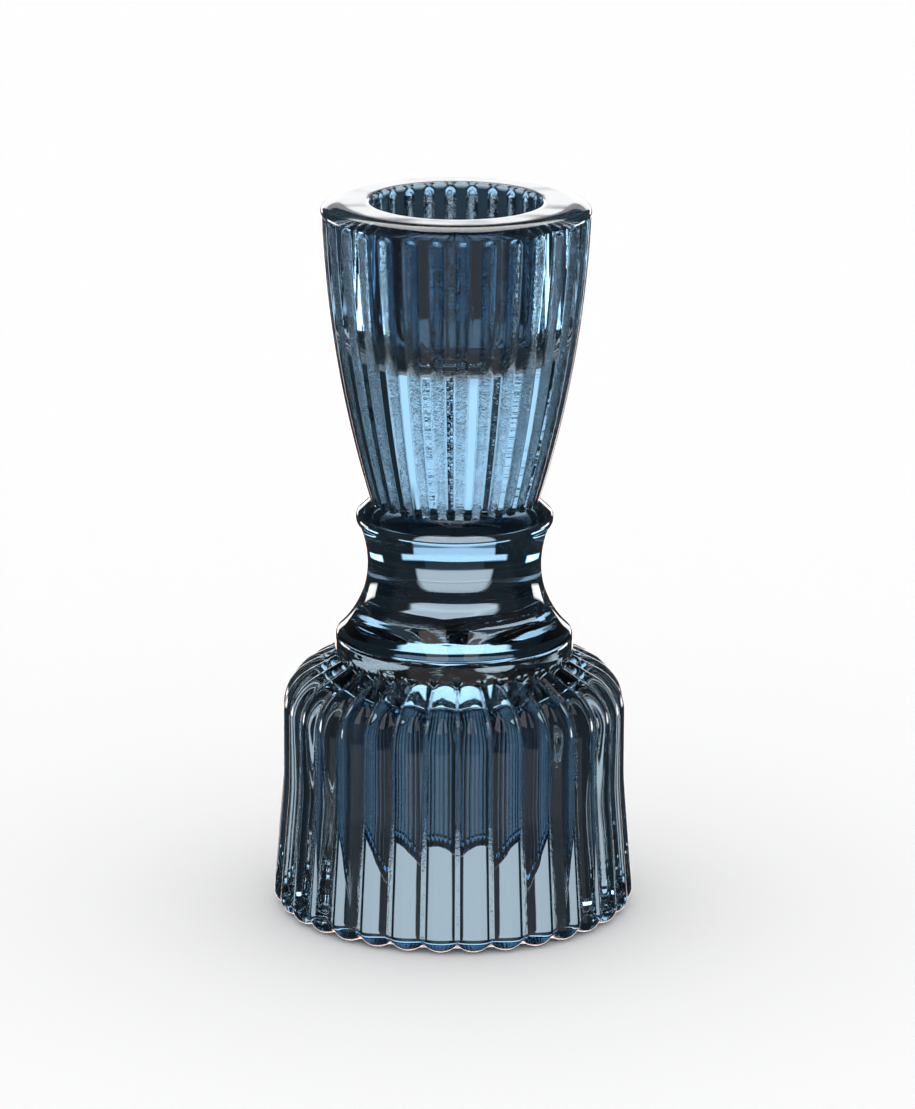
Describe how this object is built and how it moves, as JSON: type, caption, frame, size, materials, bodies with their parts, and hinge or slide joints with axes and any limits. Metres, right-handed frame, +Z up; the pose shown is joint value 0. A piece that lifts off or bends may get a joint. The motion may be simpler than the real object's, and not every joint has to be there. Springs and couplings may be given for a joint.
{
  "type": "glass bud vase",
  "caption": "Pressed glass bud vase or taper holder: a ribbed tulip cup with a narrow socket on a smooth waist and a hollow ribbed bell foot.",
  "frame": {"origin": "on the table, at the middle of the foot", "axes": "+Z up along the vase's axis; -Y is the front, where one groove of the foot and of the cup nearly faces"},
  "size_m": [0.0502, 0.0502, 0.1],
  "materials": {
    "glass_foot": "gloss, ribbed outside",
    "glass_waist": "gloss, fire polished",
    "glass_cup": "gloss, ribbed outside, fine grain in the grooves"
  },
  "bodies": {
    "root": {"bell_foot": "glass_foot", "waist_stem": "glass_waist", "collar_bead": "glass_waist", "socket_cup": "glass_cup", "rim_ring": "glass_waist"}
  },
  "joints": []
}
